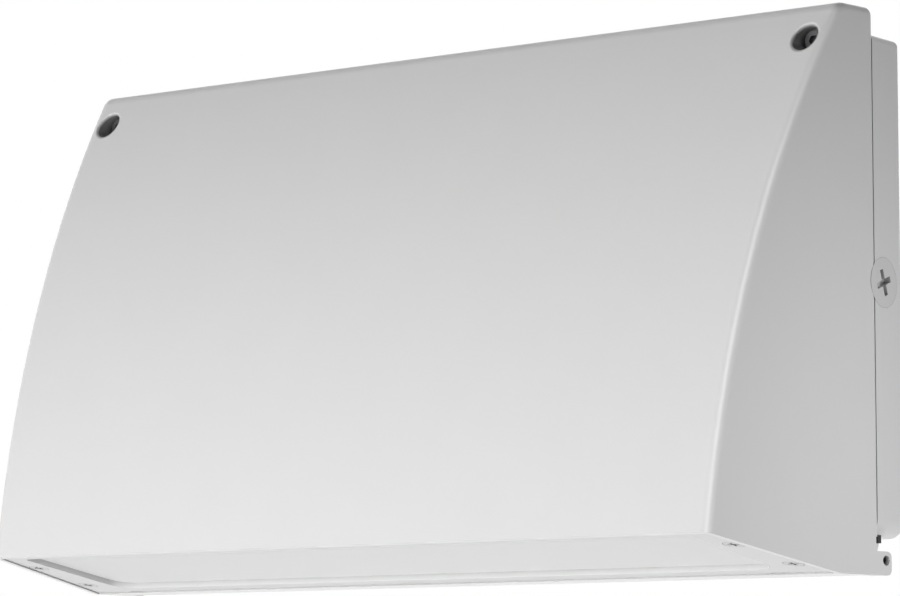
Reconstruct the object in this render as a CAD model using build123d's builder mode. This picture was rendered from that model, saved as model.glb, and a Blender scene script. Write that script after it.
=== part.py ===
from build123d import *
from math import atan2, cos, sin, sqrt
import os

# A hinged, die-cast outdoor wall light. The origin is the centre of the back box's
# wall face: +X is to the right, +Y goes into the wall and +Z is up. Millimetres.

# ---- Back box: the shallow casting that stays on the wall ----
rear_width = 406.6           # front housing, across its rear rim
box_inset = 0.5              # box side behind the housing's side, each side
box_height = 206.2
box_depth = 28.0             # wall face to the rim that carries the gasket
back_plate = 3.0
side_wall = 6.8              # thick enough to be threaded for conduit
end_wall = 4.0               # top and bottom walls
box_top_radius = 3.0
box_bottom_radius = 7.0
box_rear_round = 0.8
screw_block = 13.0           # corner blocks that take the lock screws

# ---- Front housing: the curved casting that swings open ----
side_lean = 15.3             # each side leans in by this from the rim to the front face
rim_setback = 21.5           # wall face to the housing's rear rim
housing_depth = 103.3        # rear rim to the front lip
top_overhang = 11.0          # housing's top above the box's top
top_depth = 20.0             # flat stretch on top, ahead of the rim
front_rise = 13.4            # front lip above the rear of the underside
level_strip = 23.5           # level stretch of the underside, ahead of the rim
front_radius = 508.0
wall = 2.5
edge_round = 3.6             # between the front face and the sides
top_front_round = 9.0
bend_round = 8.0
rim_chamfer_depth = 1.5
rim_chamfer_side = 0.7
rim_step = 1.6               # the rim is lower by this below the box
seam = 0.3                   # rim to the box's shoulder
neck_gap = 0.4               # box neck inside the housing's side walls
weld = 0.5                   # how far one feature of a casting runs into the next
beyond = 10.0                # how far a cutting shape reaches past what it cuts

# ---- Hinge at the bottom rear corners ----
hinge_drop = 9.5             # axis below the box's underside
hinge_setback = 16.8         # axis to the wall face
below_axis = 6.0             # housing's underside below the axis
lug_height = 9.7
lug_reach = 3.4              # lug behind the axis
lug_round = 2.6
lug_width = 6.8              # from the rim's side inwards
hinge_side_gap = 0.5         # lug to arm
arm_width = 7.0
eye_radius = 4.5
pin_radius = 2.0
pin_running_gap = 0.05
pin_sunk = 1.0               # pin's end inside the lug's outer face
pin_key = 2.5                # hexagon socket, across flats
pin_key_depth = 2.5

# ---- Gasket and the ledge it is squeezed against ----
gasket_thickness = 1.5
gasket_trim = 0.3            # gasket's edge inside the box's edges
ledge_thickness = 3.0
ledge_width = 17.0

# ---- Lock screws near the top corners ----
lock_from_side = 14.2        # inside the rear rim's edge
lock_from_top = 15.8         # below the housing's top
access_radius = 5.5          # deep hole in the front face
access_round = 1.1
tube_wall = 2.5
lock_travel = 6.5            # turned out by this, the screw lets go of the box
washer_spare = 0.3           # left in front of the washer at full travel
pocket_radius = 5.0
seat_thickness = 3.0
lock_radius = 2.45
lock_hole_gap = 0.4          # lets the screw swing out with the housing
lock_grip = 6.0              # screw's length inside the box
lock_head_radius = 4.1
lock_head_height = 4.0
lock_key = 4.0               # hexagon socket, across flats
lock_key_depth = 2.4
seat_hole_gap = 0.3
washer_thickness = 1.0
washer_radius = 4.4
washer_gap = 0.05
washer_inset = 0.2           # washer inside the pocket, with the light closed

# ---- Conduit entries and their plugs ----
entry_radius = 10.45
entry_setback = 13.9         # entry's axis to the wall face
entry_lift = 1.0             # side entries above the box's centre
plug_gap = 0.1
plug_length = 9.0
plug_cross = 11.0            # arms of the cross recess
plug_cross_width = 2.6
plug_cross_depth = 3.0
plug_cross_turn = 20.0
scallop_gap = 0.35           # housing's rim round the side plugs

# ---- Wall fastening ----
corner_hole_radius = 3.5
corner_spacing_x = 300.0
corner_spacing_z = 150.0
junction_spacing = 88.9      # slots for a round junction box
junction_slot_radius = 2.75
junction_slot_length = 14.0
wire_entry_radius = 11.1
wire_entry_z = 45.0

# ---- Underside: frame, lens and seals ----
frame_inset = 0.5            # frame's face above the housing's lower edge
frame_gap = 0.3
frame_end = 80.2             # frame's rear edge, along the underside from the lip
opening_from_side = 12.0     # lens opening inside the front face's side edges
opening_front = 6.6          # along the underside, from the lip
opening_end = 72.6
opening_rear_round = 11.0
opening_front_round = 3.0
lens_recess = 2.4
lens_thickness = 3.0
lens_overlap = 1.9
lens_fit = 0.2
seal_thickness = 1.6
seal_grip = 1.0              # seal on the frame, beyond the lens
frame_screw_front = (25.2, 5.2)      # distance from the lip, and from the side wall
frame_screw_rear = (63.1, 6.5)
frame_head_radius = 4.3
frame_head_height = 2.2
frame_head_gap = 0.2
frame_screw_radius = 1.95
frame_screw_length = 14.0
frame_hole_gap = 0.25
frame_boss_radius = 4.6
frame_boss_height = 14.0
pry_notch_from_side = 24.9   # notch's centre to the frame's side edge
pry_notch_width = 9.0
pry_notch_depth = 1.4

# ---- Light engine ----
shelf_rise = 43.0            # shelf's top above the box's underside
shelf_thickness = 4.0
board_from_opening = 13.0    # boards' ends inside the ends of the lens opening
board_width = 34.0
board_thickness = 1.6
board_split = 6.0            # between the two boards
board_setback = 66.0         # boards' centre line to the wall face
chip_size = 3.0
chip_height = 0.7
chip_columns = 12
chip_rows = 2
chip_from_end = 14.0         # first and last chip's centres to the board's ends
chip_from_edge = 10.0        # rows' centres to the board's long edges
board_screw_radius = 1.45
board_screw_gap = 0.2
board_screw_head = 2.75
board_screw_head_height = 1.6
board_screw_bite = 3.0
board_screw_edge = 4.0       # screw's axis to the board's edges
connector_size = (9.0, 6.0, 3.2)
connector_inset = 1.5
reflector_thickness = 1.0
reflector_mouth_gap = 2.0    # trough's upper mouth beyond the boards
reflector_lift = 0.3         # mouth below the shelf

# ---- Driver above the shelf ----
driver_length = 170.0
driver_width = 42.0
driver_height = 30.0
driver_setback = 62.0        # driver's centre line to the wall face
driver_round = 2.0
driver_ear = 14.0
driver_ear_thickness = 2.0
driver_screw_radius = 1.95
driver_screw_head = 4.0
driver_screw_head_height = 2.4
driver_screw_bite = 3.0
driver_screw_gap = 0.25
supply_x = 122.0
supply_size = (26.0, 20.0, 14.0)
supply_ways = 3
supply_pitch = 7.5
supply_hole_radius = 2.0

# ---- Wiring parts in the back box ----
block_x = 90.0
block_z = 45.0
block_size = (46.0, 16.0, 24.0)      # along X, out from the plate, along Z
block_poles = 3
block_wire_radius = 2.2
block_screw_radius = 1.4
block_screw_head = 2.6
block_screw_head_height = 1.5
block_screw_gap = 0.2
ground_x = -90.0
ground_boss_radius = 5.5
ground_boss_height = 6.0
ground_screw_radius = 1.95
ground_screw_grip = 5.0
ground_screw_gap = 0.2
ground_head_radius = 4.6
ground_head_height = 3.0

# ---- Screw heads, as parts of their radius or height ----
recess_reach = 0.62
recess_width = 0.26
recess_depth = 0.55

# ---- Buffer pads under the box ----
pad_size = (2.4, 2.8, 2.2)
pad_from_side = 4.5          # pad's centre to the box's side
pad_setback = 14.4


# ================= Places that follow from the sizes =================

front_y = -(rim_setback + housing_depth)
rim_y = -rim_setback
low_rim_y = rim_y - rim_step
bend_y = rim_y - level_strip
box_top = box_height / 2
box_bottom = -box_height / 2
housing_top = box_top + top_overhang
axis_y = -hinge_setback
axis_z = box_bottom - hinge_drop
underside_z = axis_z - below_axis
lip_z = underside_z + front_rise
tilt = atan2(front_rise, bend_y - front_y)
front_width = rear_width - 2 * side_lean
splay = side_lean / housing_depth
splay_stretch = sqrt(1 + splay**2)
box_half = rear_width / 2 - box_inset
cavity_half = box_half - side_wall
cavity_top = box_top - end_wall
shoulder_y = rim_y + seam
gasket_y = -box_depth
ledge_y = gasket_y - gasket_thickness                # rear face of the ledge
ledge_front_y = ledge_y - ledge_thickness
shelf_z = box_bottom + shelf_rise
pocket_depth = washer_inset + washer_thickness + lock_travel + washer_spare
lock_x = rear_width / 2 - lock_from_side
lock_z = housing_top - lock_from_top
tube_radius = max(access_radius, pocket_radius) + tube_wall
seat_y = ledge_y - pocket_depth - seat_thickness     # where the lock screw's head rests
entry_y = -entry_setback
lug_inner = rear_width / 2 - lug_width
arm_outer = lug_inner - hinge_side_gap
tall = housing_top - underside_z + 2 * beyond        # more than the housing's height
right_and_left = (1, -1)
cross_turns = (0, 90)                                # the two slots of a cross recess
standing = (Align.CENTER, Align.CENTER, Align.MIN)
hanging = (Align.CENTER, Align.CENTER, Align.MAX)


def circle_centre(start, end, radius):
    """Centre of the arc from start up to end that bulges away from the wall."""
    rise = (end[0] - start[0], end[1] - start[1])
    length = sqrt(rise[0] ** 2 + rise[1] ** 2)
    away = sqrt(radius**2 - (length / 2) ** 2) / length
    middle = ((start[0] + end[0]) / 2, (start[1] + end[1]) / 2)
    return middle[0] + rise[1] * away, middle[1] - rise[0] * away


curve_y, curve_z = circle_centre(
    (front_y, lip_z), (rim_y - top_depth, housing_top), front_radius
)


def front_surface(z, inset=0.0):
    """Depth of the curved front at height z, or of a surface inset from it."""
    return curve_y - sqrt((front_radius - inset) ** 2 - (z - curve_z) ** 2)


def half_width(y, inset=0.0):
    """Half the housing's width at depth y, to a surface inset from its side."""
    return rear_width / 2 + splay * (y - rim_y) - inset * splay_stretch


def along(y):
    """Distance from the lip along the tilted underside, for depth y."""
    return (y - front_y) / cos(tilt)


def depth_at(distance):
    """Depth of the point that lies that far along the tilted underside."""
    return front_y + distance * cos(tilt)


def plan_outline(inset, front, rear):
    """The housing seen from above: its sides open towards the wall."""
    with BuildSketch(Plane.XY.offset(underside_z - beyond)) as plan:
        with BuildLine():
            Polyline(
                (-half_width(front, inset), front),
                (half_width(front, inset), front),
                (half_width(rear, inset), rear),
                (-half_width(rear, inset), rear),
                close=True,
            )
        make_face()
    return plan.sketch


def underside_outline(lift, front, rear, inset):
    """A four-sided outline parallel to the underside, between two distances from the lip."""
    with BuildSketch(underside_plane.offset(lift)) as outline:
        with BuildLine():
            Polyline(
                (-half_width(depth_at(front), inset), front),
                (half_width(depth_at(front), inset), front),
                (half_width(depth_at(rear), inset), rear),
                (-half_width(depth_at(rear), inset), rear),
                close=True,
            )
        make_face()
    return outline.sketch


# The tilted underside: X is the light's X, Y runs from the front lip towards the wall
# and Z points up into the housing.
underside_plane = Plane(
    origin=(0, front_y, lip_z), x_dir=(1, 0, 0), z_dir=(0, sin(tilt), cos(tilt))
)
inner_front = along(front_surface(lip_z, wall))      # front wall's inside, at the lip
opening_width = front_width - 2 * opening_from_side
frame_places = [
    (side * (half_width(depth_at(distance), wall) - from_side), distance)
    for distance, from_side in (frame_screw_front, frame_screw_rear)
    for side in right_and_left
]
pry_notch_x = half_width(depth_at(frame_end), wall + frame_gap) - pry_notch_from_side
lens_top = frame_inset + lens_recess + lens_thickness
seal_top = lens_top + seal_thickness
seal_reach = lens_overlap + seal_grip
neck_half = half_width(gasket_y, wall) - neck_gap
board_top = shelf_z - shelf_thickness
board_face = board_top - board_thickness
board_length = (opening_width - board_split) / 2 - board_from_opening
board_centre_x = (board_split + board_length) / 2
chip_pitch = (board_length - 2 * chip_from_end) / (chip_columns - 1)
chip_row_pitch = (board_width - 2 * chip_from_edge) / (chip_rows - 1)
board_screw_places = [
    (side * (board_centre_x + end * (board_length / 2 - board_screw_edge)), row - board_setback)
    for side in right_and_left
    for end in right_and_left
    for row in (board_width / 2 - board_screw_edge, board_screw_edge - board_width / 2)
]
connector_x = board_centre_x + (board_length - connector_size[0]) / 2 - connector_inset
driver_screw_xs = [side * (driver_length + driver_ear) / 2 for side in right_and_left]


def rounded_outline(plane, middle, width, height, low_round, high_round):
    """A rectangle with one radius at its two low corners and another at the high ones."""
    with BuildSketch(plane) as outline:
        with Locations((0, middle)):
            Rectangle(width, height)
        fillet(outline.vertices().sort_by(Axis.Y)[:2], low_round)
        fillet(outline.vertices().sort_by(Axis.Y)[-2:], high_round)
    return outline.sketch


def box_outline(out, half, trim):
    """The back box seen from the front, in the plane that lies out from the wall."""
    return rounded_outline(
        Plane.XZ.offset(out),
        0,
        2 * (half - trim),
        box_height - 2 * trim,
        box_bottom_radius - trim,
        box_top_radius - trim,
    )


def chamber_outline(out):
    """The wiring chamber inside the back box, less the blocks for the lock screws."""
    with BuildSketch(Plane.XZ.offset(out)) as outline:
        Rectangle(2 * cavity_half, 2 * cavity_top)
        with GridLocations(2 * cavity_half - screw_block, 0, 2, 1):
            with Locations((0, cavity_top - screw_block / 2)):
                Rectangle(screw_block, screw_block, mode=Mode.SUBTRACT)
    return outline.sketch


def opening_outline(lift, grow):
    """The lens opening parallel to the underside, larger by grow on each side."""
    return rounded_outline(
        underside_plane.offset(lift),
        (opening_front + opening_end) / 2,
        opening_width + 2 * grow,
        opening_end - opening_front + 2 * grow,
        opening_front_round + grow,
        opening_rear_round + grow,
    )


def trough(grow):
    """The space inside the reflector, larger by grow on each side."""
    lower_mouth = opening_outline(seal_top, grow)
    upper_mouth = rounded_outline(
        Plane.XY.offset(board_top - reflector_lift),
        -board_setback,
        2 * (board_centre_x + board_length / 2 + reflector_mouth_gap + grow),
        board_width + 2 * (reflector_mouth_gap + grow),
        opening_front_round + grow,
        opening_front_round + grow,
    )
    with BuildPart() as space:
        loft(sections=[lower_mouth, upper_mouth], ruled=True)
    return space.part


def slotted_screw(shank_radius, shank_length, head_radius, head_height):
    """A screw with a slotted head that rests on the origin, its shank pointing down."""
    with BuildPart() as screw:
        Cylinder(shank_radius, shank_length, align=hanging)
        Cylinder(head_radius, head_height, align=standing)
        with Locations((0, 0, head_height)):
            Box(
                2 * head_radius,
                recess_width * head_radius,
                recess_depth * head_height,
                align=hanging,
                mode=Mode.SUBTRACT,
            )
    return screw.part


def cross_screw(shank_radius, shank_length, head_radius, head_height):
    """A screw with a cross recess in its head that rests on the origin."""
    with BuildPart() as screw:
        Cylinder(shank_radius, shank_length, align=hanging)
        Cylinder(head_radius, head_height, align=standing)
        for turn in cross_turns:
            with Locations(Location((0, 0, head_height), (0, 0, turn))):
                Box(
                    2 * recess_reach * head_radius,
                    recess_width * head_radius,
                    recess_depth * head_height,
                    align=hanging,
                    mode=Mode.SUBTRACT,
                )
    return screw.part


# ========================= Front housing =========================

with BuildPart() as cavity:
    inner_top = housing_top - wall
    inner_bottom = underside_z + wall
    inner_lip = (front_surface(lip_z + wall, wall), lip_z + wall)
    with BuildSketch(Plane.YZ):
        with BuildLine():
            ThreePointArc(
                inner_lip,
                (front_surface(0, wall), 0),
                (front_surface(inner_top, wall), inner_top),
            )
            Polyline(
                (front_surface(inner_top, wall), inner_top),
                (0, inner_top),
                (0, inner_bottom),
                (bend_y, inner_bottom),
                inner_lip,
            )
        make_face()
    extrude(amount=rear_width, both=True)
    extrude(plan_outline(wall, front_y - beyond, beyond), amount=tall, mode=Mode.INTERSECT)

with BuildPart() as lugs:
    # at the bottom rear corners, rounded behind the hinge axis
    with BuildSketch(Plane.YZ):
        with Locations(((axis_y + lug_reach + ledge_front_y) / 2, underside_z + lug_height / 2)):
            lug = Rectangle(axis_y + lug_reach - ledge_front_y, lug_height)
        fillet(lug.vertices().sort_by(Axis.X)[-2:], lug_round)
    extrude(amount=rear_width, both=True)
    extrude(plan_outline(0, front_y - beyond, beyond), amount=tall, mode=Mode.INTERSECT)
    with BuildSketch(Plane.XZ.offset(-beyond)):
        Rectangle(2 * lug_inner, 4 * box_height)
    extrude(amount=box_height, mode=Mode.SUBTRACT)

with BuildPart() as lock_tubes:
    # round the lock screws, from the ledge to the inside of the front face
    with BuildSketch(Plane.XZ.offset(-ledge_y)):
        with Locations((lock_x, lock_z), (-lock_x, lock_z)):
            Circle(tube_radius)
    extrude(amount=housing_depth)
    add(cavity.part, mode=Mode.INTERSECT)

with BuildPart() as frame_bosses:
    # pillars for the frame screws, joined to the side walls by a rib
    for x, distance in frame_places:
        outward = 1 if x > 0 else -1
        reach = half_width(depth_at(distance), wall) + weld - abs(x)
        with BuildSketch(underside_plane.offset(lens_top)):
            with Locations((x, distance)):
                Circle(frame_boss_radius)
            with Locations((x + outward * reach / 2, distance)):
                Rectangle(reach, frame_boss_radius)
        extrude(amount=frame_boss_height)

with BuildPart() as front_housing:
    # outside: the side outline, cut to the splayed plan
    with BuildSketch(Plane.YZ) as side_outline:
        with BuildLine():
            ThreePointArc(
                (front_y, lip_z), (front_surface(0), 0), (rim_y - top_depth, housing_top)
            )
            Polyline(
                (rim_y - top_depth, housing_top),
                (rim_y, housing_top),
                (rim_y, box_bottom),
                (low_rim_y, box_bottom),
                (low_rim_y, underside_z),
                (bend_y, underside_z),
                (front_y, lip_z),
            )
        make_face()
        top_corner = (rim_y - top_depth, housing_top)
        fillet(side_outline.vertices().sort_by_distance(top_corner)[0], top_front_round)
        bend = (bend_y, underside_z)
        fillet(side_outline.vertices().sort_by_distance(bend)[0], bend_round)
    extrude(amount=rear_width, both=True)
    extrude(plan_outline(0, front_y - beyond, beyond), amount=tall, mode=Mode.INTERSECT)
    side_edges = edges().filter_by(
        lambda e: abs(e.center().X) > front_width / 4
        and e.center().Z > 0
        and e.center().Y < rim_y - rim_chamfer_depth / 2
    )
    fillet(side_edges, edge_round)
    rim_edges = edges().filter_by(
        lambda e: abs(e.center().X) > front_width / 4
        and abs(e.center().Y - rim_y) < rim_chamfer_depth / 2
        and e.length > box_height
    )
    chamfer(rim_edges, rim_chamfer_depth, rim_chamfer_side)
    add(cavity.part, mode=Mode.SUBTRACT)

    # the underside is open for the lens frame, from the front wall to the bend
    frame_hole = underside_outline(-wall, inner_front, frame_end + frame_gap, wall)
    extrude(frame_hole, amount=3 * wall, mode=Mode.SUBTRACT)

    # the ledge behind the rim, closed below the shelf to shut off the light engine
    with BuildSketch(Plane.XZ.offset(-ledge_y)):
        with Locations((0, (housing_top + underside_z) / 2)):
            Rectangle(
                2 * (half_width(ledge_y, wall) + weld / 2),
                housing_top - underside_z - 2 * (wall - weld),
            )
        with Locations((0, (shelf_z + housing_top - wall - ledge_width) / 2)):
            Rectangle(
                2 * (half_width(ledge_y, wall) - ledge_width),
                housing_top - wall - ledge_width - shelf_z,
                mode=Mode.SUBTRACT,
            )
    extrude(amount=ledge_thickness)

    # the shelf that carries the light engine below and the driver above
    shelf_front = front_surface(shelf_z, wall) - weld
    with BuildSketch(Plane.XY.offset(shelf_z - shelf_thickness)):
        with BuildLine():
            Polyline(
                (-half_width(shelf_front, wall - weld), shelf_front),
                (half_width(shelf_front, wall - weld), shelf_front),
                (half_width(ledge_y, wall - weld), ledge_y),
                (-half_width(ledge_y, wall - weld), ledge_y),
                close=True,
            )
        make_face()
    extrude(amount=shelf_thickness)
    add(lugs.part)
    add(lock_tubes.part)
    add(frame_bosses.part)

    # access holes, the screws' seats and the washers' pockets
    with Locations((lock_x, seat_y, lock_z), (-lock_x, seat_y, lock_z)):
        Cylinder(
            access_radius,
            housing_depth,
            rotation=(90, 0, 0),
            align=standing,
            mode=Mode.SUBTRACT,
        )
    with Locations((lock_x, ledge_y, lock_z), (-lock_x, ledge_y, lock_z)):
        Cylinder(
            pocket_radius,
            pocket_depth,
            rotation=(90, 0, 0),
            align=standing,
            mode=Mode.SUBTRACT,
        )
        Cylinder(
            lock_radius + seat_hole_gap,
            pocket_depth + 2 * seat_thickness,
            rotation=(90, 0, 0),
            align=standing,
            mode=Mode.SUBTRACT,
        )
    mouth_edges = edges().filter_by(
        lambda e: abs(abs(e.center().X) - lock_x) < access_radius
        and e.center().Y < front_surface(lock_z) + access_radius
        and e.length > access_radius
        and abs(e.center().Z - lock_z) < access_radius
    )
    fillet(mouth_edges, access_round)

    # hinge bores, and the rim's scallops round the side plugs
    with Locations((0, axis_y, axis_z)):
        Cylinder(
            pin_radius + pin_running_gap, 2 * rear_width, rotation=(0, 90, 0), mode=Mode.SUBTRACT
        )
    with Locations((0, entry_y, entry_lift)):
        Cylinder(
            entry_radius + scallop_gap, 2 * rear_width, rotation=(0, 90, 0), mode=Mode.SUBTRACT
        )

    # tapped holes for the frame screws
    with Locations(underside_plane):
        with Locations(*[(x, distance, lens_top) for x, distance in frame_places]):
            Cylinder(
                frame_screw_radius + frame_hole_gap,
                frame_boss_height,
                align=standing,
                mode=Mode.SUBTRACT,
            )

    # holes for the screws of the light engine and the driver
    with Locations(*[(x, y, shelf_z - shelf_thickness) for x, y in board_screw_places]):
        Cylinder(
            board_screw_radius + board_screw_gap,
            board_screw_bite + board_screw_gap,
            align=standing,
            mode=Mode.SUBTRACT,
        )
    with Locations(*[(x, -driver_setback, shelf_z) for x in driver_screw_xs]):
        Cylinder(
            driver_screw_radius + driver_screw_gap,
            driver_screw_bite + driver_screw_gap,
            align=hanging,
            mode=Mode.SUBTRACT,
        )

    # a scallop in the top rim, for a conduit from above
    with Locations((0, entry_y, box_top)):
        Cylinder(entry_radius + scallop_gap, 2 * top_overhang, align=standing, mode=Mode.SUBTRACT)


# ========================= Hinge pins =========================

pin_end = half_width(axis_y) - pin_sunk

with BuildPart() as hinge_pin_right:
    with BuildSketch(Plane.YZ.offset(arm_outer - arm_width)):
        with Locations((axis_y, axis_z)):
            Circle(pin_radius)
    extrude(amount=pin_end - arm_outer + arm_width)
    with BuildSketch(Plane.YZ.offset(pin_end)):
        with Locations((axis_y, axis_z)):
            RegularPolygon(pin_key / 2, 6, major_radius=False)
    extrude(amount=-pin_key_depth, mode=Mode.SUBTRACT)

with BuildPart() as hinge_pin_left:
    mirror(hinge_pin_right.part, about=Plane.YZ)


# ========================= Back box =========================

with BuildSketch(Plane.YZ.offset(-arm_outer)) as hinge_arm:
    with BuildLine():
        Polyline(
            (axis_y - eye_radius, axis_z),
            (axis_y - eye_radius, box_bottom + weld),
            (axis_y + 2 * eye_radius, box_bottom + weld),
            (axis_y + 2 * eye_radius, box_bottom),
            (axis_y + eye_radius, axis_z),
            close=True,
        )
    make_face()
    with Locations((axis_y, axis_z)):
        Circle(eye_radius)

with BuildPart() as back_box:
    extrude(box_outline(0, box_half, 0), amount=-shoulder_y)
    fillet(faces().sort_by(Axis.Y)[-1].edges(), box_rear_round)
    extrude(box_outline(-shoulder_y, neck_half, 0), amount=shoulder_y - gasket_y)
    extrude(chamber_outline(back_plate), amount=box_depth, mode=Mode.SUBTRACT)

    # arms that carry the hinge pins
    extrude(hinge_arm.sketch, amount=arm_width)
    extrude(hinge_arm.sketch.moved(Location((2 * arm_outer - arm_width, 0, 0))), amount=arm_width)
    with Locations((0, axis_y, axis_z)):
        Cylinder(
            pin_radius + pin_running_gap, 2 * rear_width, rotation=(0, 90, 0), mode=Mode.SUBTRACT
        )

    # conduit entries at both sides and on top
    with Locations((0, entry_y, entry_lift)):
        Cylinder(entry_radius, 2 * rear_width, rotation=(0, 90, 0), mode=Mode.SUBTRACT)
    with Locations((0, entry_y, cavity_top - end_wall)):
        Cylinder(entry_radius, 3 * end_wall, align=standing, mode=Mode.SUBTRACT)

    # threaded holes for the lock screws
    with Locations((lock_x, gasket_y, lock_z), (-lock_x, gasket_y, lock_z)):
        Cylinder(
            lock_radius + lock_hole_gap,
            box_depth - back_plate,
            rotation=(-90, 0, 0),
            align=standing,
            mode=Mode.SUBTRACT,
        )

    # fastening holes, slots and the wire entry in the back plate
    with BuildSketch(Plane.XZ):
        with GridLocations(corner_spacing_x, corner_spacing_z, 2, 2):
            Circle(corner_hole_radius)
        with Locations((0, wire_entry_z)):
            Circle(wire_entry_radius)
            with GridLocations(junction_spacing, 0, 2, 1):
                SlotOverall(junction_slot_length, 2 * junction_slot_radius)
    extrude(amount=back_plate, mode=Mode.SUBTRACT)

    # boss for the earth screw
    with BuildSketch(Plane.XZ.offset(back_plate)):
        with Locations((ground_x, wire_entry_z)):
            Circle(ground_boss_radius)
    extrude(amount=ground_boss_height)
    with BuildSketch(Plane.XZ.offset(back_plate + ground_boss_height)):
        with Locations((ground_x, wire_entry_z)):
            Circle(ground_screw_radius + ground_screw_gap)
    extrude(amount=-ground_screw_grip - ground_screw_gap, mode=Mode.SUBTRACT)

with BuildPart() as box_gasket:
    extrude(box_outline(box_depth, neck_half, gasket_trim), amount=gasket_thickness)
    extrude(chamber_outline(box_depth), amount=gasket_thickness, mode=Mode.SUBTRACT)
    with BuildSketch(Plane.XZ.offset(box_depth)):
        with Locations((lock_x, lock_z), (-lock_x, lock_z)):
            Circle(lock_radius + lock_hole_gap)
    extrude(amount=gasket_thickness, mode=Mode.SUBTRACT)

with BuildPart() as buffer_pads:
    # under the box's rounded corners
    with Locations(
        *[
            (side * (box_half - pad_from_side), -pad_setback, box_bottom - pad_size[2])
            for side in right_and_left
        ]
    ):
        Box(pad_size[0], pad_size[1], pad_size[2] + box_bottom_radius, align=standing)
    extrude(box_outline(0, box_half, 0), amount=-shoulder_y, mode=Mode.SUBTRACT)


# ========================= Conduit plugs =========================

with BuildPart() as plug:
    # outer face upwards, at the origin
    Cylinder(entry_radius - plug_gap, plug_length, align=hanging)
    for turn in cross_turns:
        with Locations(Location((0, 0, 0), (0, 0, plug_cross_turn + turn))):
            Box(plug_cross, plug_cross_width, plug_cross_depth, align=hanging, mode=Mode.SUBTRACT)

with BuildPart() as conduit_plug_right:
    add(plug.part.moved(Location((box_half, entry_y, entry_lift), (0, 90, 0))))

with BuildPart() as conduit_plug_left:
    add(plug.part.moved(Location((-box_half, entry_y, entry_lift), (0, -90, 0))))

with BuildPart() as conduit_plug_top:
    add(plug.part.moved(Location((0, entry_y, box_top))))


# ========================= Wiring parts =========================

block_front = -(back_plate + block_size[1])
pole_places = [
    (
        block_x + (pole - (block_poles - 1) / 2) * block_size[0] / block_poles,
        block_z + side * block_size[2] / 4,
    )
    for pole in range(block_poles)
    for side in right_and_left
]

with BuildPart() as terminal_block:
    with Locations((block_x, -back_plate - block_size[1] / 2, block_z)):
        Box(*block_size)
    # wells for the screws, down to the wires' channels
    with BuildSketch(Plane.XZ.offset(-block_front)):
        with Locations(*pole_places):
            Circle(block_screw_head + block_screw_gap)
    extrude(amount=-2 * block_screw_head_height, mode=Mode.SUBTRACT)
    with BuildSketch(Plane.XZ.offset(-block_front)):
        with Locations(*pole_places):
            Circle(block_screw_radius + block_screw_gap)
    extrude(amount=-block_size[1] / 2, mode=Mode.SUBTRACT)
    with BuildSketch(Plane.XY.offset(block_z - block_size[2] / 2)):
        with Locations(*[(x, block_front + block_size[1] / 2) for x, z in pole_places]):
            Circle(block_wire_radius)
    extrude(amount=block_size[2], mode=Mode.SUBTRACT)

with BuildPart() as terminal_screws:
    for x, z in pole_places:
        seat = Plane(
            origin=(x, block_front + 2 * block_screw_head_height, z),
            x_dir=(1, 0, 0),
            z_dir=(0, -1, 0),
        )
        add(
            slotted_screw(
                block_screw_radius,
                block_size[1] / 2 - 2 * block_screw_head_height,
                block_screw_head,
                block_screw_head_height,
            ).moved(seat.location)
        )

with BuildPart() as ground_screw:
    seat = Plane(
        origin=(ground_x, -back_plate - ground_boss_height, wire_entry_z),
        x_dir=(1, 0, 0),
        z_dir=(0, -1, 0),
    )
    add(
        slotted_screw(
            ground_screw_radius, ground_screw_grip, ground_head_radius, ground_head_height
        ).moved(seat.location)
    )


# ========================= Lock screws and washers =========================

with BuildPart() as lock_screw_right:
    Cylinder(lock_radius, gasket_y + lock_grip - seat_y, align=hanging)
    Cylinder(lock_head_radius, lock_head_height, align=standing)
    with BuildSketch(Plane.XY.offset(lock_head_height)):
        RegularPolygon(lock_key / 2, 6, major_radius=False)
    extrude(amount=-lock_key_depth, mode=Mode.SUBTRACT)

lock_seat = Plane(origin=(lock_x, seat_y, lock_z), x_dir=(1, 0, 0), z_dir=(0, -1, 0))
lock_screw_right.part.move(lock_seat.location)

with BuildPart() as lock_screw_left:
    mirror(lock_screw_right.part, about=Plane.YZ)

with BuildPart() as lock_washer_right:
    with BuildSketch(Plane.XZ.offset(gasket_thickness + box_depth + washer_inset)):
        with Locations((lock_x, lock_z)):
            Circle(washer_radius)
            Circle(lock_radius + washer_gap, mode=Mode.SUBTRACT)
    extrude(amount=washer_thickness)

with BuildPart() as lock_washer_left:
    mirror(lock_washer_right.part, about=Plane.YZ)


# ========================= Lens frame, lens and seal =========================

with BuildPart() as lens_frame:
    frame_depth = lens_top - frame_inset
    extrude(
        underside_outline(
            frame_inset, inner_front + frame_gap, frame_end, wall + frame_gap
        ),
        amount=frame_depth,
    )
    extrude(opening_outline(frame_inset, 0), amount=frame_depth, mode=Mode.SUBTRACT)
    extrude(
        opening_outline(lens_top, lens_overlap), amount=-lens_thickness, mode=Mode.SUBTRACT
    )
    with BuildSketch(underside_plane.offset(frame_inset)):
        with Locations(*frame_places):
            Circle(frame_head_radius + frame_head_gap)
    extrude(amount=frame_head_height, mode=Mode.SUBTRACT)
    with BuildSketch(underside_plane.offset(frame_inset)):
        with Locations(*frame_places):
            Circle(frame_screw_radius + frame_hole_gap)
    extrude(amount=frame_depth, mode=Mode.SUBTRACT)
    with BuildSketch(underside_plane.offset(frame_inset)):
        with Locations((pry_notch_x, frame_end), (-pry_notch_x, frame_end)):
            Rectangle(pry_notch_width, 2 * pry_notch_depth)
    extrude(amount=frame_depth, mode=Mode.SUBTRACT)

with BuildPart() as lens:
    extrude(opening_outline(lens_top, lens_overlap - lens_fit), amount=-lens_thickness)

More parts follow.
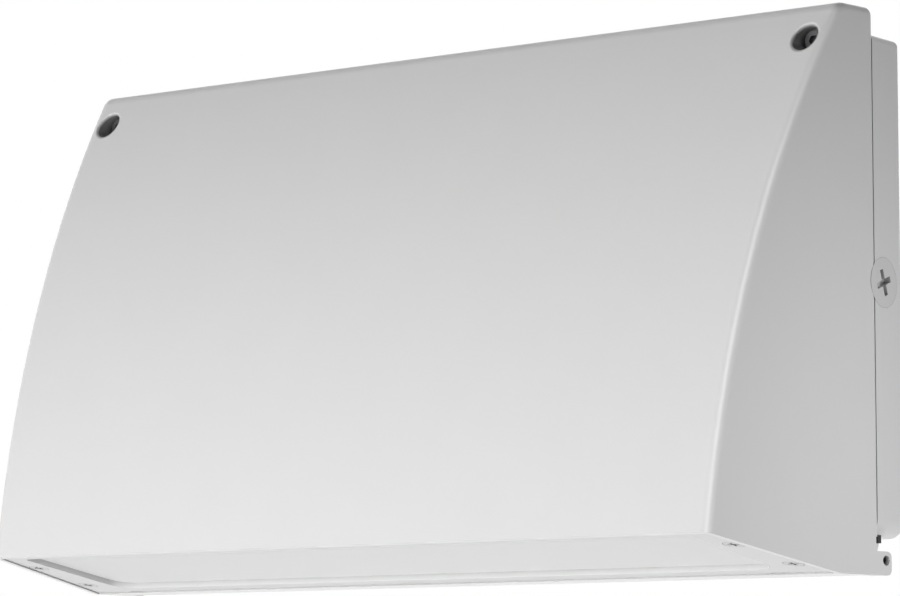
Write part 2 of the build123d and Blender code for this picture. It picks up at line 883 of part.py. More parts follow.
with BuildPart() as lens_seal:
    extrude(opening_outline(lens_top, seal_reach), amount=seal_thickness)
    extrude(opening_outline(lens_top, 0), amount=seal_thickness, mode=Mode.SUBTRACT)

with BuildPart() as frame_screws:
    for x, distance in frame_places:
        seat = Plane(
            origin=underside_plane.from_local_coords(
                (x, distance, frame_inset + frame_head_height)
            ),
            x_dir=(1, 0, 0),
            z_dir=(0, -sin(tilt), -cos(tilt)),
        )
        add(
            cross_screw(
                frame_screw_radius,
                frame_screw_length - frame_head_height,
                frame_head_radius,
                frame_head_height,
            ).moved(seat.location)
        )


# ========================= Light engine =========================

with BuildPart() as reflector:
    add(trough(reflector_thickness))
    extrude(opening_outline(seal_top, seal_reach), amount=reflector_thickness)
    add(trough(0), mode=Mode.SUBTRACT)


def led_board(side):
    """One board under the shelf, on the side given by +1 or -1."""
    with BuildPart() as board:
        with Locations((side * board_centre_x, -board_setback, board_top)):
            Box(board_length, board_width, board_thickness, align=hanging)
        with Locations(*[(x, y, board_top) for x, y in board_screw_places]):
            Cylinder(
                board_screw_radius + board_screw_gap,
                board_thickness,
                align=hanging,
                mode=Mode.SUBTRACT,
            )
    return board.part


with BuildPart() as led_board_right:
    add(led_board(1))

with BuildPart() as led_board_left:
    add(led_board(-1))

with BuildPart() as led_emitters:
    for side in right_and_left:
        with Locations((side * board_centre_x, -board_setback, board_face)):
            with GridLocations(chip_pitch, chip_row_pitch, chip_columns, chip_rows):
                Box(chip_size, chip_size, chip_height, align=hanging)

with BuildPart() as board_connectors:
    with Locations(
        *[(side * connector_x, -board_setback, board_face) for side in right_and_left]
    ):
        Box(*connector_size, align=hanging)

with BuildPart() as board_screws:
    for x, y in board_screw_places:
        seat = Plane(origin=(x, y, board_face), x_dir=(1, 0, 0), z_dir=(0, 0, -1))
        add(
            cross_screw(
                board_screw_radius,
                board_thickness + board_screw_bite,
                board_screw_head,
                board_screw_head_height,
            ).moved(seat.location)
        )


# ========================= Driver =========================

with BuildPart() as led_driver:
    with Locations((0, -driver_setback, shelf_z)):
        Box(driver_length, driver_width, driver_height, align=standing)
    fillet(edges().group_by(Axis.Z)[-1] + edges().filter_by(Axis.Z), driver_round)
    with Locations((0, -driver_setback, shelf_z)):
        Box(
            driver_length + 2 * driver_ear,
            driver_ear,
            driver_ear_thickness,
            align=standing,
        )
    with Locations(*[(x, -driver_setback, shelf_z) for x in driver_screw_xs]):
        Cylinder(
            driver_screw_radius + driver_screw_gap,
            driver_ear_thickness,
            align=standing,
            mode=Mode.SUBTRACT,
        )

with BuildPart() as driver_screws:
    for x in driver_screw_xs:
        place = Location((x, -driver_setback, shelf_z + driver_ear_thickness))
        add(
            cross_screw(
                driver_screw_radius,
                driver_ear_thickness + driver_screw_bite,
                driver_screw_head,
                driver_screw_head_height,
            ).moved(place)
        )

with BuildPart() as supply_connector:
    # joins the driver's leads to those of the back box
    with Locations((supply_x, -driver_setback, shelf_z)):
        Box(*supply_size, align=standing)
    supply_top = shelf_z + supply_size[2]
    with BuildSketch(Plane.XZ.offset(driver_setback - supply_size[1] / 2)):
        with Locations((supply_x, supply_top - supply_size[2] / 2)):
            with GridLocations(supply_pitch, 0, supply_ways, 1):
                Circle(supply_hole_radius)
    extrude(amount=supply_size[1] / 2, mode=Mode.SUBTRACT)


# ========================= Files =========================

os.makedirs("parts", exist_ok=True)
back_box.part.label = "back_box"
box_gasket.part.label = "box_gasket"
buffer_pads.part.label = "buffer_pads"
conduit_plug_right.part.label = "conduit_plug_right"
conduit_plug_left.part.label = "conduit_plug_left"
conduit_plug_top.part.label = "conduit_plug_top"
terminal_block.part.label = "terminal_block"
terminal_screws.part.label = "terminal_screws"
ground_screw.part.label = "ground_screw"
front_housing.part.label = "front_housing"
hinge_pin_right.part.label = "hinge_pin_right"
hinge_pin_left.part.label = "hinge_pin_left"
lock_screw_right.part.label = "lock_screw_right"
lock_screw_left.part.label = "lock_screw_left"
lock_washer_right.part.label = "lock_washer_right"
lock_washer_left.part.label = "lock_washer_left"
lens_frame.part.label = "lens_frame"
lens.part.label = "lens"
lens_seal.part.label = "lens_seal"
frame_screws.part.label = "frame_screws"
reflector.part.label = "reflector"
led_board_right.part.label = "led_board_right"
led_board_left.part.label = "led_board_left"
led_emitters.part.label = "led_emitters"
board_connectors.part.label = "board_connectors"
board_screws.part.label = "board_screws"
led_driver.part.label = "led_driver"
driver_screws.part.label = "driver_screws"
supply_connector.part.label = "supply_connector"
export_step(back_box.part, "parts/back_box.step")
export_step(box_gasket.part, "parts/box_gasket.step")
export_step(buffer_pads.part, "parts/buffer_pads.step")
export_step(conduit_plug_right.part, "parts/conduit_plug_right.step")
export_step(conduit_plug_left.part, "parts/conduit_plug_left.step")
export_step(conduit_plug_top.part, "parts/conduit_plug_top.step")
export_step(terminal_block.part, "parts/terminal_block.step")
export_step(terminal_screws.part, "parts/terminal_screws.step")
export_step(ground_screw.part, "parts/ground_screw.step")
export_step(front_housing.part, "parts/front_housing.step")
export_step(hinge_pin_right.part, "parts/hinge_pin_right.step")
export_step(hinge_pin_left.part, "parts/hinge_pin_left.step")
export_step(lock_screw_right.part, "parts/lock_screw_right.step")
export_step(lock_screw_left.part, "parts/lock_screw_left.step")
export_step(lock_washer_right.part, "parts/lock_washer_right.step")
export_step(lock_washer_left.part, "parts/lock_washer_left.step")
export_step(lens_frame.part, "parts/lens_frame.step")
export_step(lens.part, "parts/lens.step")
export_step(lens_seal.part, "parts/lens_seal.step")
export_step(frame_screws.part, "parts/frame_screws.step")
export_step(reflector.part, "parts/reflector.step")
export_step(led_board_right.part, "parts/led_board_right.step")
export_step(led_board_left.part, "parts/led_board_left.step")
export_step(led_emitters.part, "parts/led_emitters.step")
export_step(board_connectors.part, "parts/board_connectors.step")
export_step(board_screws.part, "parts/board_screws.step")
export_step(led_driver.part, "parts/led_driver.step")
export_step(driver_screws.part, "parts/driver_screws.step")
export_step(supply_connector.part, "parts/supply_connector.step")
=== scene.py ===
import math

import bmesh
import bpy
from mathutils import Matrix, Vector


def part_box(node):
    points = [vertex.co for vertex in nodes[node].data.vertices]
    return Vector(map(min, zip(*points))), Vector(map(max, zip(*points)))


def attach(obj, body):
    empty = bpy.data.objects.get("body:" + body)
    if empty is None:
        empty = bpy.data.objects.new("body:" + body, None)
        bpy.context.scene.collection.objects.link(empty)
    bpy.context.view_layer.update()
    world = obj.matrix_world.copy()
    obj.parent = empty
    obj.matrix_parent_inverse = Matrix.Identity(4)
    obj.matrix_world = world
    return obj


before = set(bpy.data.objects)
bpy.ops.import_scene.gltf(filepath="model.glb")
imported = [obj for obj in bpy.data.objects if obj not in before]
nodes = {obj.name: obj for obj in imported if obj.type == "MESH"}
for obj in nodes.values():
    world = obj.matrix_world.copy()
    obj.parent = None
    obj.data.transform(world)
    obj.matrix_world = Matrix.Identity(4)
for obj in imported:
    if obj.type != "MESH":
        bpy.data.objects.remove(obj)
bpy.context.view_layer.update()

scene = bpy.context.scene

# the deep holes that the two lock screws sit in, one at either side of the middle
LOCK_X, LOCK_Z = 0.1891, 0.0983
LOCK_BORE_RADIUS = 0.0055


# ---------------------------------------------------------------- camera

PICTURE_WIDTH = 900     # pixels
SENSOR_WIDTH = 36       # millimetres
FOCAL = 3765.0          # pixels; the camera was solved from edges in the photograph
AZIMUTH = math.radians(36.785)
PITCH = math.radians(6.558)
ROLL = math.radians(0.043)
FRONT_WIDTH = 0.376
SOLVED_POINT = Vector((0, 0.00721, -0.1053))
OFFSET = (0.0728, -0.3057, 4.4231)      # from the eye to that point: right, above and ahead

sight = Vector((
    -math.sin(AZIMUTH) * math.cos(PITCH),
    math.cos(AZIMUTH) * math.cos(PITCH),
    math.sin(PITCH),
))
level = Vector((math.cos(AZIMUTH), math.sin(AZIMUTH), 0))
upward = level.cross(sight)
right = level * math.cos(ROLL) + upward * math.sin(ROLL)
above = upward * math.cos(ROLL) - level * math.sin(ROLL)
eye = -(right * OFFSET[0] + above * OFFSET[1] + sight * OFFSET[2]) * FRONT_WIDTH
eye += SOLVED_POINT

camera_data = bpy.data.cameras.new("camera")
camera_data.sensor_fit = "HORIZONTAL"
camera_data.sensor_width = SENSOR_WIDTH
camera_data.lens = FOCAL * SENSOR_WIDTH / PICTURE_WIDTH
camera = bpy.data.objects.new("camera", camera_data)
turn = Matrix((right, above, -sight)).transposed().to_4x4()
camera.matrix_world = Matrix.Translation(eye) @ turn
scene.collection.objects.link(camera)
scene.camera = camera
scene.view_settings.view_transform = "Standard"


# ---------------------------------------------------------------- light

def area_light(name, place, target, size, power):
    """Adds a lamp panel that faces a target and is seen neither directly nor in gloss."""
    data = bpy.data.lights.new(name, "AREA")
    data.shape = "RECTANGLE"
    data.size, data.size_y = size
    data.energy = power
    light = bpy.data.objects.new(name, data)
    light.location = place
    aim = Vector(target) - Vector(place)
    light.rotation_euler = aim.to_track_quat("-Z", "Y").to_euler()
    light.visible_camera = False
    light.visible_glossy = False
    scene.collection.objects.link(light)
    return light


# name, place, target, width and height in metres, watts
for lamp in (
    ("front_low", (-0.2, -1.85, -0.58), (0, -0.08, 0), (1.2, 0.7), 19.5),
    ("front_level", (-0.15, -1.43, -0.1), (0, -0.08, 0), (1.2, 0.5), 7.9),
    ("right", (0.484, -0.07, -0.095), (0.2, -0.05, -0.095), (0.15, 0.15), 0.485),
    ("under", (0, 0.1, -0.85), (0, -0.08, 0), (0.8, 0.4), 2.5),
    ("left", (-1.3, 0.3, 0.1), (-0.2, -0.05, 0), (0.8, 0.8), 1.7),
    ("behind", (-0.15, 1.6, 0.75), (0, 0, 0), (0.6, 0.6), 12),
):
    area_light(*lamp)

# a tall panel that shows in the gloss alone, for the line along the edge of front and side
strip = area_light("strip", (0.85, -0.85, 0.55), (0.2, -0.10, 0.0), (0.75, 1.0), 6)
strip.visible_diffuse = False
strip.visible_glossy = True


def add(tree, kind, values=None, **settings):
    """Adds a shader node with its settings, and then with values for its inputs."""
    node = tree.nodes.new("ShaderNode" + kind)
    for name, setting in settings.items():
        setattr(node, name, setting)
    for name, value in (values or {}).items():
        node.inputs[name].default_value = value
    return node


def light_path_mix(tree, seen, unseen):
    """Shows one shader to the camera and in gloss and glass, and another to the light."""
    path = add(tree, "LightPath")
    camera_or_gloss = add(tree, "Math", operation="MAXIMUM")
    or_glass = add(tree, "Math", operation="MAXIMUM")
    mix = add(tree, "MixShader")
    link = tree.links.new
    link(path.outputs["Is Camera Ray"], camera_or_gloss.inputs[0])
    link(path.outputs["Is Glossy Ray"], camera_or_gloss.inputs[1])
    link(camera_or_gloss.outputs[0], or_glass.inputs[0])
    link(path.outputs["Is Transmission Ray"], or_glass.inputs[1])
    link(or_glass.outputs[0], mix.inputs[0])
    link(unseen, mix.inputs[1])
    link(seen, mix.inputs[2])
    return mix.outputs[0]


WHITE = (1, 1, 1, 1)
BACKGROUND = 1.0        # the world's strength as it is seen
FILL = 0.03             # its strength as it lights

world = bpy.data.worlds.new("studio")
scene.world = world
world.use_nodes = True
tree = world.node_tree
tree.nodes.clear()
seen = add(tree, "Background", {"Color": WHITE, "Strength": BACKGROUND})
unseen = add(tree, "Background", {"Color": WHITE, "Strength": FILL})
output = add(tree, "OutputWorld")
look = light_path_mix(tree, seen.outputs[0], unseen.outputs[0])
tree.links.new(look, output.inputs["Surface"])


# ---------------------------------------------------------------- floor

FLOOR_PLACE = (0, -0.5, -1.1)
FLOOR_HALF = 40         # half its side, so that its edge stays far off in every view
FLOOR_GREY = 0.4
FLOOR_ROUGHNESS = 0.9
FLOOR_GLOW = 0.94


def grey(value):
    return (value, value, value)


def new_material(name):
    material = bpy.data.materials.new(name)
    material.use_nodes = True
    return material, material.node_tree, material.node_tree.nodes["Principled BSDF"]


# nearly white as it is seen, with the shadow on it, but a plain grey as it throws light back
floor_paint, tree, shader = new_material("floor_paint")
shader.inputs["Base Color"].default_value = (*grey(FLOOR_GREY), 1)
shader.inputs["Roughness"].default_value = FLOOR_ROUGHNESS
glow = add(tree, "Emission", {"Color": WHITE, "Strength": FLOOR_GLOW})
lit = add(tree, "AddShader")
tree.links.new(glow.outputs[0], lit.inputs[0])
tree.links.new(shader.outputs[0], lit.inputs[1])
look = light_path_mix(tree, lit.outputs[0], shader.outputs[0])
tree.links.new(look, tree.nodes["Material Output"].inputs["Surface"])

mesh = bpy.data.meshes.new("floor")
corners = [(x * FLOOR_HALF, y * FLOOR_HALF, 0) for x, y in ((-1, -1), (1, -1), (1, 1), (-1, 1))]
mesh.from_pydata(corners, [], [(0, 1, 2, 3)])
mesh.materials.append(floor_paint)
obj = bpy.data.objects.new("floor", mesh)
obj.location = FLOOR_PLACE
scene.collection.objects.link(obj)


# ---------------------------------------------------------------- kinds of finish

GLOSS_SPREAD = 0.15         # how far the grain moves the roughness, as a share of it
GRAIN_DETAIL, PATCH_DETAIL = 3, 2


def noise(tree, place, size, detail):
    """Adds a noise pattern of a size in metres over a place, and gives its value."""
    texture = add(tree, "TexNoise", {"Scale": 1 / size, "Detail": detail})
    tree.links.new(place, texture.inputs["Vector"])
    return texture.outputs["Fac"]


def surface(name, colour, roughness, metallic=0.0, grain=0.0008, depth=0.00002,
            mottle=0.02, stretch=(1, 1, 1), patch=0.03):
    """A finish with fine grain in its height and gloss, and broad, faint patches of colour.

    grain and patch are the sizes of the two patterns in metres, depth is the height of the
    grain, and mottle is how far the colour strays. A stretch below 1 draws the grain out
    along that axis, as brushing does.
    """
    material, tree, shader = new_material(name)
    shader.inputs["Metallic"].default_value = metallic
    darker = [part * (1 - mottle) for part in colour]
    paler = [min(1, part * (1 + mottle)) for part in colour]
    place = add(tree, "TexCoord")
    mapping = add(tree, "Mapping", {"Scale": stretch})
    bump = add(tree, "Bump", {"Distance": depth})
    gloss = add(tree, "MapRange", {
        "To Min": roughness * (1 - GLOSS_SPREAD),
        "To Max": roughness * (1 + GLOSS_SPREAD),
    })
    tint = add(tree, "Mix", {"A": (*darker, 1), "B": (*paler, 1)}, data_type="RGBA")
    link = tree.links.new
    link(place.outputs["Object"], mapping.inputs["Vector"])
    fine = noise(tree, mapping.outputs["Vector"], grain, GRAIN_DETAIL)
    broad = noise(tree, place.outputs["Object"], patch, PATCH_DETAIL)
    link(fine, bump.inputs["Height"])
    link(bump.outputs["Normal"], shader.inputs["Normal"])
    link(fine, gloss.inputs["Value"])
    link(gloss.outputs["Result"], shader.inputs["Roughness"])
    link(broad, tint.inputs["Factor"])
    link(tint.outputs["Result"], shader.inputs["Base Color"])
    return material, tree, shader, bump


def darken(tree, shader, fac, scale):
    """Multiplies a shader's colour by the value that a map range makes of fac."""
    before = shader.inputs["Base Color"].links[0].from_socket
    product = add(tree, "Mix", {"Factor": 1.0}, data_type="RGBA", blend_type="MULTIPLY")
    tree.links.new(fac, scale.inputs["Value"])
    tree.links.new(before, product.inputs["A"])
    tree.links.new(scale.outputs["Result"], product.inputs["B"])
    tree.links.new(product.outputs["Result"], shader.inputs["Base Color"])


COAT_GRAIN, COAT_GRAIN_DEPTH = 0.0011, 0.000025
PEEL, PEEL_DEPTH, PEEL_DETAIL = 0.0034, 0.00005, 1
SHADE_REACH = 0.005        # how near another face has to be for painted shade on the coat
SHADE_OPEN = 0.8           # how open a spot is from which on it has its full colour
SHADE_SAMPLES = 8


def coated(name, colour, roughness, deepest=0.4):
    """Powder coat: a fine orange peel on a satin finish, with painted shade in seams and recesses.

    deepest is the share of its colour that the painted shade leaves at the bottom of a narrow
    recess.
    """
    material, tree, shader, bump = surface(
        name, colour, roughness, grain=COAT_GRAIN, depth=COAT_GRAIN_DEPTH, mottle=0.012
    )
    shader.inputs["Specular IOR Level"].default_value = 0.38
    shader.inputs["Coat Weight"].default_value = 0.6
    shader.inputs["Coat Roughness"].default_value = 0.14
    place = add(tree, "TexCoord")
    peel = noise(tree, place.outputs["Object"], PEEL, PEEL_DETAIL)
    waves = add(tree, "Bump", {"Distance": PEEL_DEPTH})
    tree.links.new(peel, waves.inputs["Height"])
    tree.links.new(waves.outputs["Normal"], bump.inputs["Normal"])
    # painted shade: ambient occlusion darkens the coat's colour in seams, gaps and recesses
    crevice_shade = add(tree, "AmbientOcclusion", {"Distance": SHADE_REACH}, samples=SHADE_SAMPLES)
    painted_shade = add(tree, "MapRange", {"From Max": SHADE_OPEN, "To Min": deepest})
    darken(tree, shader, crevice_shade.outputs["AO"], painted_shade)
    return material


# from the first to the second distance past a bore's wall, the painted shade in the bore gives way
# to the coat
BORE_SHADE_INNER, BORE_SHADE_OUTER = 0.0004, 0.0012
BORE_SHADE_SHARE = 0.5            # the share of the coat's colour that the painted shade leaves in a bore


def with_painted_bore_shade(material, x, z, radius):
    """Paints shade into two bores that run along Y, one at either side of the middle."""
    tree = material.node_tree
    place = add(tree, "TexCoord")
    axes = add(tree, "SeparateXYZ")
    fold = add(tree, "Math", operation="ABSOLUTE")
    flat = add(tree, "CombineXYZ")
    off = add(tree, "VectorMath", {1: (x, 0, z)}, operation="DISTANCE")
    edge = add(tree, "MapRange", {
        "From Min": radius + BORE_SHADE_INNER,
        "From Max": radius + BORE_SHADE_OUTER,
        "To Min": BORE_SHADE_SHARE,
    })
    link = tree.links.new
    link(place.outputs["Object"], axes.inputs["Vector"])
    link(axes.outputs["X"], fold.inputs[0])
    link(fold.outputs["Value"], flat.inputs["X"])
    link(axes.outputs["Z"], flat.inputs["Z"])
    link(flat.outputs["Vector"], off.inputs[0])
    darken(tree, tree.nodes["Principled BSDF"], off.outputs["Value"], edge)
    return material


def moulded(name, colour, roughness=0.45):
    """Injection-moulded plastic with a spark-eroded grain."""
    return surface(name, colour, roughness, grain=0.0004, depth=0.00001, mottle=0.03)[0]


def metal(name, colour, roughness=0.3, stretch=(1, 1, 1)):
    """Bare or plated metal, brushed where it has a stretch."""
    return surface(
        name, colour, roughness, 1.0,
        grain=0.0005, depth=0.000006, mottle=0.05, stretch=stretch, patch=0.004
    )[0]


BAND_PHASE = 20             # radians per unit of a wave texture's scale and length
THREAD_DEPTH = 0.0004
THREAD_FADE = 0.0002


def threaded(name, colour, roughness, pitch, start):
    """Blackened steel with a thread along Y, from start on towards the wall."""
    material, tree, shader, bump = surface(
        name, colour, roughness, 0.75, grain=0.0005, depth=0.000008, patch=0.004
    )
    place = add(tree, "TexCoord")
    axes = add(tree, "SeparateXYZ")
    wave = add(
        tree, "TexWave", {"Scale": 2 * math.pi / (BAND_PHASE * pitch)},
        wave_profile="TRI", bands_direction="Y"
    )
    fade = add(tree, "MapRange", {
        "From Min": start - THREAD_FADE,
        "From Max": start + THREAD_FADE,
    })
    height = add(tree, "Math", operation="MULTIPLY")
    ridges = add(tree, "Bump", {"Distance": THREAD_DEPTH})
    link = tree.links.new
    link(place.outputs["Object"], axes.inputs["Vector"])
    link(place.outputs["Object"], wave.inputs["Vector"])
    link(axes.outputs["Y"], fade.inputs["Value"])
    link(wave.outputs["Fac"], height.inputs[0])
    link(fade.outputs["Result"], height.inputs[1])
    link(height.outputs["Value"], ridges.inputs["Height"])
    link(ridges.outputs["Normal"], bump.inputs["Normal"])
    return material


# ---------------------------------------------------------------- materials

PAINT = grey(0.80)
COAT_ROUGHNESS = 0.44
LOCK_THREAD_PITCH = 0.0008
LOCK_THREAD_START = -0.0400

white_coat = coated("white_coat", PAINT, COAT_ROUGHNESS)
# the housing's coat, with painted shade in its two deep lock screw bores
housing_coat_bore_shade = with_painted_bore_shade(
    coated("housing_coat_bore_shade", PAINT, COAT_ROUGHNESS), LOCK_X, LOCK_Z, LOCK_BORE_RADIUS
)
frame_coat = coated("frame_coat", grey(0.69), COAT_ROUGHNESS)
plug_coat = coated("plug_coat", grey(0.74), 0.5)
# the frame screws' coat: its darker grey and deep recess darkening are painted shade in the cross
# recesses and around the heads
screw_coat_shaded = coated("screw_coat_shaded", grey(0.56), 0.42, deepest=0.1)
silicone = surface("silicone", grey(0.05), 0.62, grain=0.0006, depth=0.00003, mottle=0.15)[0]
pad_rubber = surface("pad_rubber", grey(0.022), 0.7, grain=0.0004, depth=0.00003, mottle=0.15)[0]
zinc = metal("zinc", (0.62, 0.62, 0.60))
stainless = metal("stainless", grey(0.22), 0.38, stretch=(0.1, 1, 1))
black_oxide = threaded(
    "black_oxide", (0.12, 0.12, 0.125), 0.45, LOCK_THREAD_PITCH, LOCK_THREAD_START
)
enamel = surface(
    "enamel", (0.86, 0.86, 0.85), 0.22, grain=0.002, depth=0.00001, mottle=0.01
)[0]
solder_mask = surface("solder_mask", (0.84, 0.84, 0.82), 0.35, grain=0.0006, depth=0.000005)[0]
phosphor = surface(
    "phosphor", (0.86, 0.62, 0.10), 0.5, grain=0.0003, depth=0.000005, mottle=0.06
)[0]
black_plastic = moulded("black_plastic", (0.028, 0.028, 0.030), 0.42)
potting = surface(
    "potting", (0.045, 0.045, 0.048), 0.25, grain=0.006, depth=0.00015, mottle=0.1
)[0]
pale_plastic = moulded("pale_plastic", (0.74, 0.73, 0.68))
orange_plastic = moulded("orange_plastic", (0.70, 0.20, 0.03), 0.36)
lever_plastic = moulded("lever_plastic", (0.78, 0.27, 0.05), 0.3)
green_plating = metal("green_plating", (0.05, 0.30, 0.10), 0.34)

frosted, tree, shader, bump = surface(
    "frosted_glass", grey(0.96), 0.5, grain=0.0009, depth=0.00002, mottle=0.006, patch=0.05
)
shader.inputs["Transmission Weight"].default_value = 0.12
shader.inputs["IOR"].default_value = 1.45

finish_of = {
    "back_box": white_coat,
    "front_housing": housing_coat_bore_shade,
    "lens_frame": frame_coat,
    "box_gasket": silicone,
    "buffer_pads": pad_rubber,
    "lens_seal": silicone,
    "conduit_plug_right": plug_coat,
    "conduit_plug_left": plug_coat,
    "conduit_plug_top": plug_coat,
    "frame_screws": screw_coat_shaded,
    "lens": frosted,
    "reflector": enamel,
    "led_board_right": solder_mask,
    "led_board_left": solder_mask,
    "led_emitters": phosphor,
    "board_connectors": pale_plastic,
    "terminal_block": pale_plastic,
    "supply_connector": orange_plastic,
    "led_driver": black_plastic,
    "ground_screw": green_plating,
    "hinge_pin_right": stainless,
    "hinge_pin_left": stainless,
    "lock_screw_right": black_oxide,
    "lock_screw_left": black_oxide,
    "lock_washer_right": zinc,
    "lock_washer_left": zinc,
    "terminal_screws": zinc,
    "board_screws": zinc,
    "driver_screws": zinc,
}
for name, material in finish_of.items():
    nodes[name].data.materials.clear()
    nodes[name].data.materials.append(material)


# ---------------------------------------------------------------- tools for small forms

EMBED = 0.0002          # how deep each form is set into what carries it
RING_SIDES = 40
BEVEL_STEPS = 2


def box_between(mesh, low, high):
    """Adds a block to a bmesh, by its lowest and highest corners."""
    centre = (Vector(low) + Vector(high)) / 2
    size = Vector(high) - Vector(low)
    place = Matrix.Translation(centre) @ Matrix.Diagonal((*size, 1))
    bmesh.ops.create_cube(mesh, size=1, matrix=place)


def ring(mesh, centre, axis, inner, outer, height):
    """Adds a ring to a bmesh, standing height high from centre along axis."""
    turn = Vector(axis).to_track_quat("Z", "Y").to_matrix().to_4x4()
    place = Matrix.Translation(centre) @ turn
    angles = [2 * math.pi * i / RING_SIDES for i in range(RING_SIDES)]
    loops = []
    for radius, rise in ((inner, 0), (outer, 0), (outer, height), (inner, height)):
        spots = [Vector((radius * math.cos(a), radius * math.sin(a), rise)) for a in angles]
        loops.append([mesh.verts.new(place @ spot) for spot in spots])
    for one, other in zip(loops, loops[1:] + loops[:1]):
        for i in range(RING_SIDES):
            j = (i + 1) % RING_SIDES
            mesh.faces.new((one[i], one[j], other[j], other[i]))


def piece(name, mesh, material, body, edge):
    """Makes a piece of a bmesh that moves with a body, its edges rounded by a width."""
    bmesh.ops.recalc_face_normals(mesh, faces=mesh.faces)
    data = bpy.data.meshes.new(name)
    mesh.to_mesh(data)
    mesh.free()
    obj = bpy.data.objects.new(name, data)
    obj.data.materials.append(material)
    scene.collection.objects.link(obj)
    rounded = obj.modifiers.new("edges", "BEVEL")
    rounded.width = edge
    rounded.segments = BEVEL_STEPS
    rounded.limit_method = "ANGLE"
    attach(obj, body)


# ---------------------------------------------------------------- driver

driver_low, driver_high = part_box("led_driver")
driver_top = driver_high[2]
driver_rear = driver_high[1]
driver_y = (driver_low[1] + driver_high[1]) / 2
DRIVER_END_X = 0.085                    # its end face, inside the ears that hold it

# the raised rim of its potted well
RIM_X, RIM_Y = 0.076, 0.0165            # half the rim's length and width
RIM_WALL, RIM_RISE = 0.0016, 0.0011
well_x, well_y = RIM_X - RIM_WALL, RIM_Y - RIM_WALL
rim_low, rim_high = driver_top - EMBED, driver_top + RIM_RISE

mesh = bmesh.new()
for side in (1, -1):
    x = side * (RIM_X - RIM_WALL / 2)
    y = driver_y + side * (RIM_Y - RIM_WALL / 2)
    box_between(
        mesh,
        (-RIM_X, y - RIM_WALL / 2, rim_low),
        (RIM_X, y + RIM_WALL / 2, rim_high)
    )
    box_between(
        mesh,
        (x - RIM_WALL / 2, driver_y - well_y, rim_low),
        (x + RIM_WALL / 2, driver_y + well_y, rim_high)
    )
piece("driver_rim", mesh, black_plastic, "cover", edge=0.0003)

# the resin in the well, which creeps up the walls and lies unevenly over the coils below
POTTING_LEVEL = 0.0003
CREEP, CREEP_POWER_X, CREEP_POWER_Y = 0.0005, 24, 8
RIPPLE, WAVES_X, WAVES_Y, WAVES_SKEW = 0.00012, 9, 4, 2
STEPS_X, STEPS_Y = 60, 14

mesh = bmesh.new()
rows = []
for j in range(STEPS_Y + 1):
    v = 2 * j / STEPS_Y - 1
    row = []
    for i in range(STEPS_X + 1):
        u = 2 * i / STEPS_X - 1
        creep = CREEP * max(abs(u) ** CREEP_POWER_X, abs(v) ** CREEP_POWER_Y)
        ripple = RIPPLE * (math.cos(WAVES_X * u) + math.cos(WAVES_Y * v + WAVES_SKEW * u))
        z = driver_top + POTTING_LEVEL + creep + ripple
        row.append(mesh.verts.new((u * well_x, driver_y + v * well_y, z)))
    rows.append(row)
for one, other in zip(rows, rows[1:]):
    for i in range(STEPS_X):
        mesh.faces.new((one[i], one[i + 1], other[i + 1], other[i]))
# the new faces have no normals yet, so the copy that closes the sheet lies on the sheet itself
bmesh.ops.solidify(mesh, geom=mesh.faces[:], thickness=EMBED)
piece("driver_potting", mesh, potting, "cover", edge=0.0001)

# the bushings that its leads leave by, two at each end, each a flange and a spout
LEAD_BORE, LEAD_HEIGHTS = 0.0019, (-0.041, -0.050)
FLANGE_RADIUS, FLANGE_LENGTH = 0.0036, 0.0022
SPOUT_RADIUS, SPOUT_LENGTH = 0.0028, 0.0042

mesh = bmesh.new()
for side in (1, -1):
    for z in LEAD_HEIGHTS:
        start = (side * (DRIVER_END_X - EMBED), driver_y, z)
        ring(mesh, start, (side, 0, 0), LEAD_BORE, FLANGE_RADIUS, FLANGE_LENGTH)
        ring(mesh, start, (side, 0, 0), LEAD_BORE, SPOUT_RADIUS, SPOUT_LENGTH)
piece("driver_bushings", mesh, black_plastic, "cover", edge=0.0003)

# shallow ribs on its rear face: five along it, and two upright ones near each end
RIB_COUNT, RIB_PITCH, FIRST_RIB = 5, 0.0042, 0.0068
RIB_X, RIB_HALF, RIB_RISE = 0.066, 0.0008, 0.0007
UPRIGHT_X = (-0.0805, -0.0715, 0.0715, 0.0805)
UPRIGHT_HALF, UPRIGHT_RISE = 0.0005, 0.0005
UPRIGHT_FROM_LOW, UPRIGHT_FROM_TOP = 0.0045, 0.004

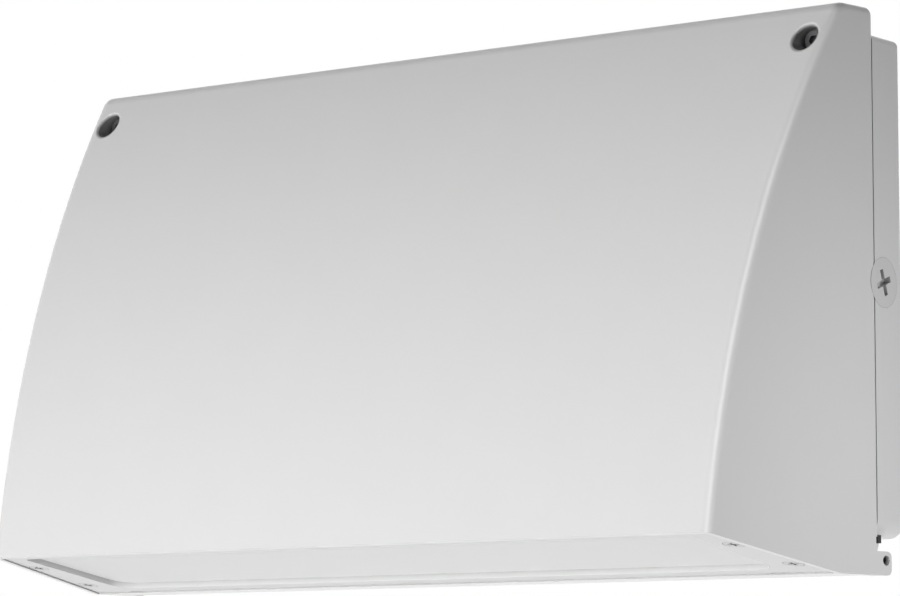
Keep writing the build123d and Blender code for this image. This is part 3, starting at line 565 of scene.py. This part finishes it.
mesh = bmesh.new()
for i in range(RIB_COUNT):
    z = driver_low[2] + FIRST_RIB + i * RIB_PITCH
    box_between(
        mesh,
        (-RIB_X, driver_rear - EMBED, z - RIB_HALF),
        (RIB_X, driver_rear + RIB_RISE, z + RIB_HALF)
    )
for x in UPRIGHT_X:
    box_between(
        mesh,
        (x - UPRIGHT_HALF, driver_rear - EMBED, driver_low[2] + UPRIGHT_FROM_LOW),
        (x + UPRIGHT_HALF, driver_rear + UPRIGHT_RISE, driver_top - UPRIGHT_FROM_TOP)
    )
piece("driver_ribs", mesh, black_plastic, "cover", edge=0.0002)


# ---------------------------------------------------------------- connector, terminals and box

POLES = 3

# the levers of the supply connector, lying shut, each with a raised tip
LEVER_HALF = 0.0029
LEVER_START, LEVER_END, LEVER_RISE = 0.002, 0.0135, 0.0012
TIP_START, TIP_END, TIP_RISE = 0.0005, 0.0026, 0.0019

low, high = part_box("supply_connector")
mesh = bmesh.new()
for i in range(POLES):
    x = low[0] + (i + 0.5) * (high[0] - low[0]) / POLES
    for start, end, rise in (
        (LEVER_START, LEVER_END, LEVER_RISE), (TIP_START, TIP_END, TIP_RISE)
    ):
        box_between(
            mesh,
            (x - LEVER_HALF, low[1] + start, high[2] - EMBED),
            (x + LEVER_HALF, low[1] + end, high[2] + rise)
        )
piece("connector_levers", mesh, lever_plastic, "cover", edge=0.0004)

# the ribs that part the poles of the terminal block, and close its ends
WALL_HALF, WALL_RISE, WALL_INSET = 0.0006, 0.0014, 0.001

low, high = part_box("terminal_block")
mesh = bmesh.new()
for i in range(POLES + 1):
    x = low[0] + WALL_HALF + i * (high[0] - low[0] - 2 * WALL_HALF) / POLES
    box_between(
        mesh,
        (x - WALL_HALF, low[1] - WALL_RISE, low[2] + WALL_INSET),
        (x + WALL_HALF, low[1] + EMBED, high[2] - WALL_INSET)
    )
piece("terminal_ribs", mesh, pale_plastic, "back", edge=0.0002)

# the rings that the ejector pins left on the inside of the back plate
PLATE_FACE_Y = -0.003
MARK_INNER, MARK_OUTER, MARK_RISE = 0.0034, 0.0040, 0.0004
MARKS = ((-0.15, 0.06), (-0.15, -0.06), (-0.03, 0.07), (-0.03, -0.07), (0.14, 0.08), (0.15, -0.06))

mesh = bmesh.new()
for x, z in MARKS:
    centre = (x, PLATE_FACE_Y + EMBED, z)
    ring(mesh, centre, (0, -1, 0), MARK_INNER, MARK_OUTER, MARK_RISE)
piece("box_ejector_marks", mesh, white_coat, "back", edge=0.0001)
